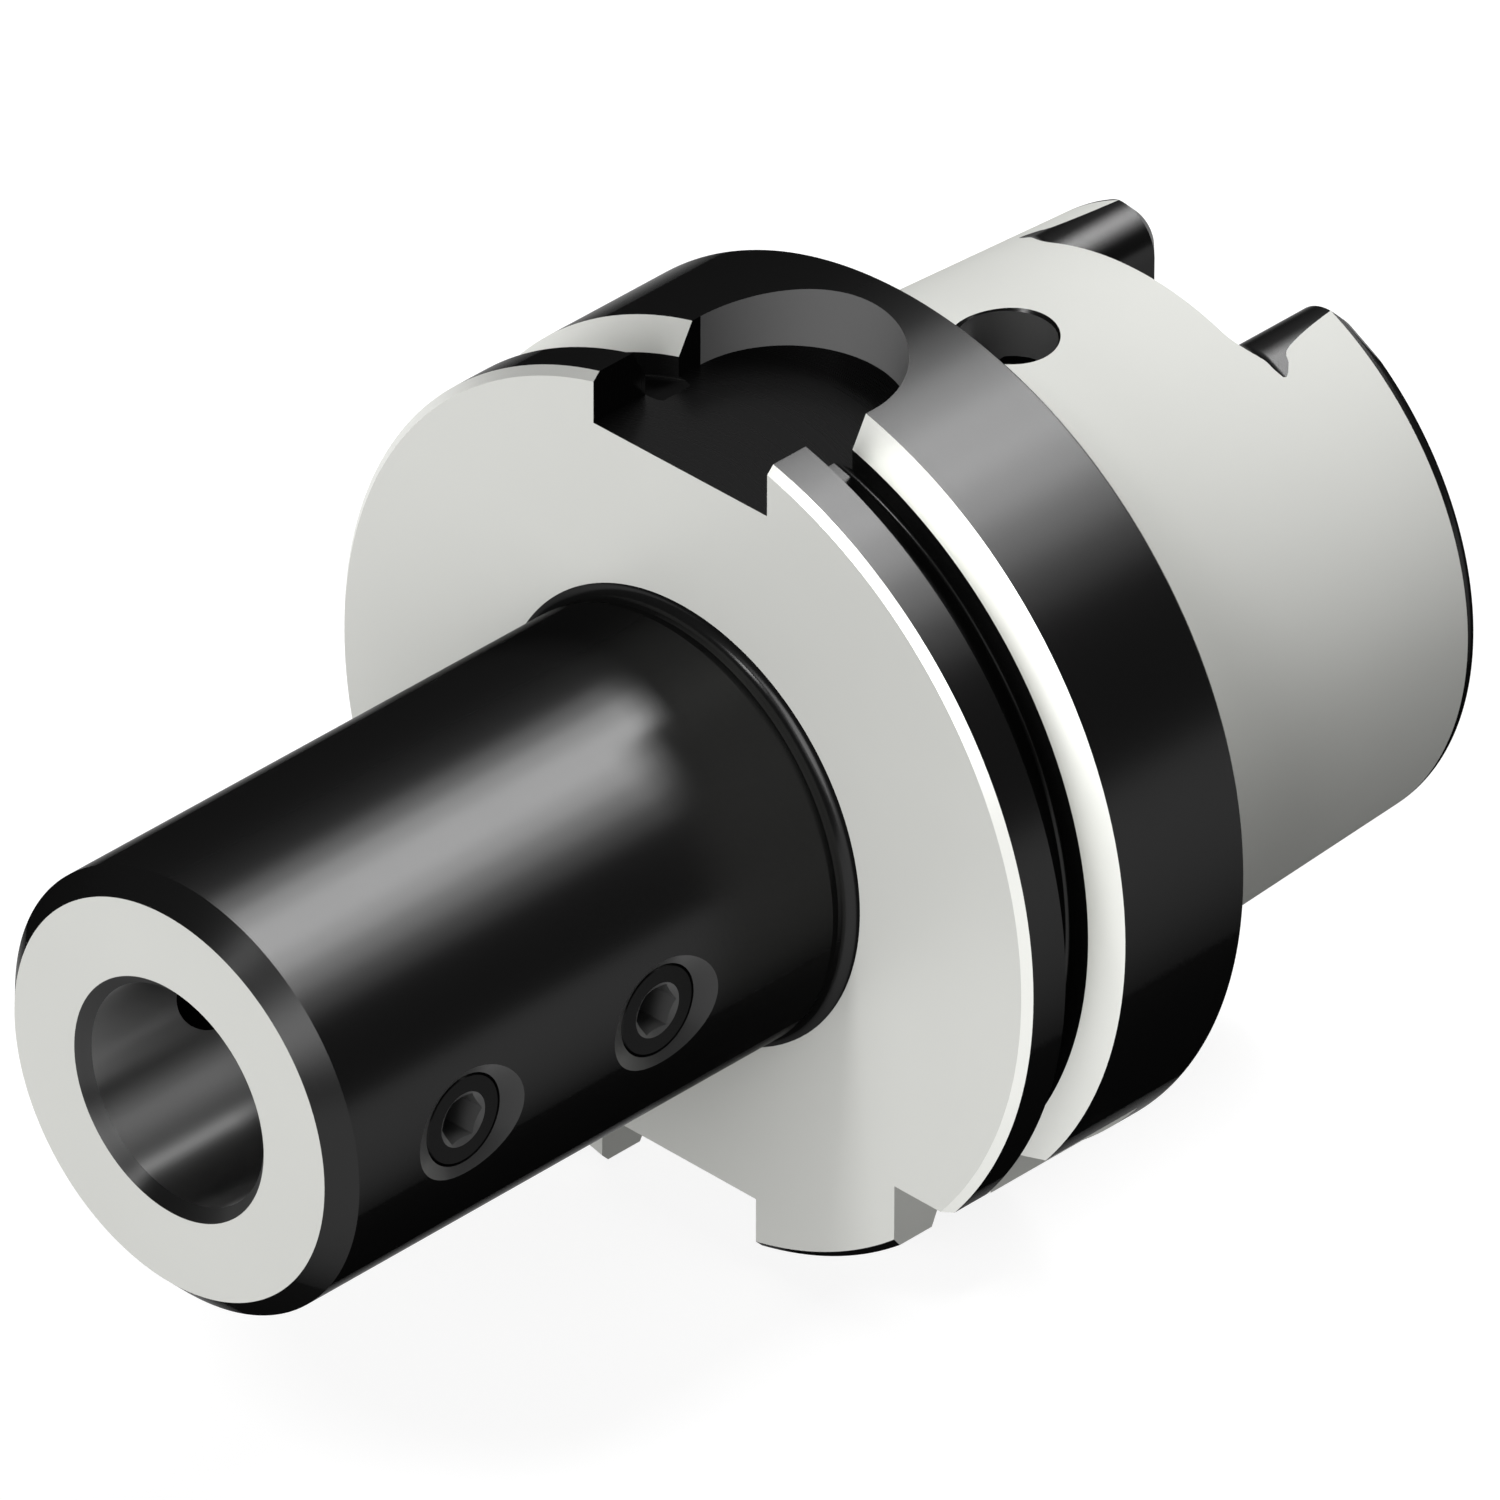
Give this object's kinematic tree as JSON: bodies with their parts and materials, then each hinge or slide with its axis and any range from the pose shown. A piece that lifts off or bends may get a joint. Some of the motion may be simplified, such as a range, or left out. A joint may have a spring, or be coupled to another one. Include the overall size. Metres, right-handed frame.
{
  "type": "hsk adapter",
  "caption": "Hollow taper shank tool adapter: round nose with a plain bore and side clamp screws, grooved drive flange with keyways, and a short hollow taper with drive slots.",
  "frame": {"origin": "centre of the gauge face, where the flange meets the taper shank", "axes": "+X along the tool axis from the nose to the shank, +Z through the wide keyway, the clamp screws on the -Y side"},
  "size_m": [0.125, 0.08, 0.08],
  "materials": {
    "holder_body": "black oxide with ground nose face, flange face, groove flanks and taper",
    "clamp_screws": "black oxide"
  },
  "bodies": {
    "holder": {"holder_body": "holder_body"},
    "front_screw": {"front_clamp_screw": "clamp_screws"},
    "rear_screw": {"rear_clamp_screw": "clamp_screws"}
  },
  "joints": [
    {"name": "front_screw_travel", "type": "slide", "parent": "holder", "child": "front_screw", "axis": [0, 1, 0], "range_m": [-0.001, 0.00275]},
    {"name": "rear_screw_travel", "type": "slide", "parent": "holder", "child": "rear_screw", "axis": [0, 1, 0], "range_m": [-0.001, 0.00275]}
  ]
}
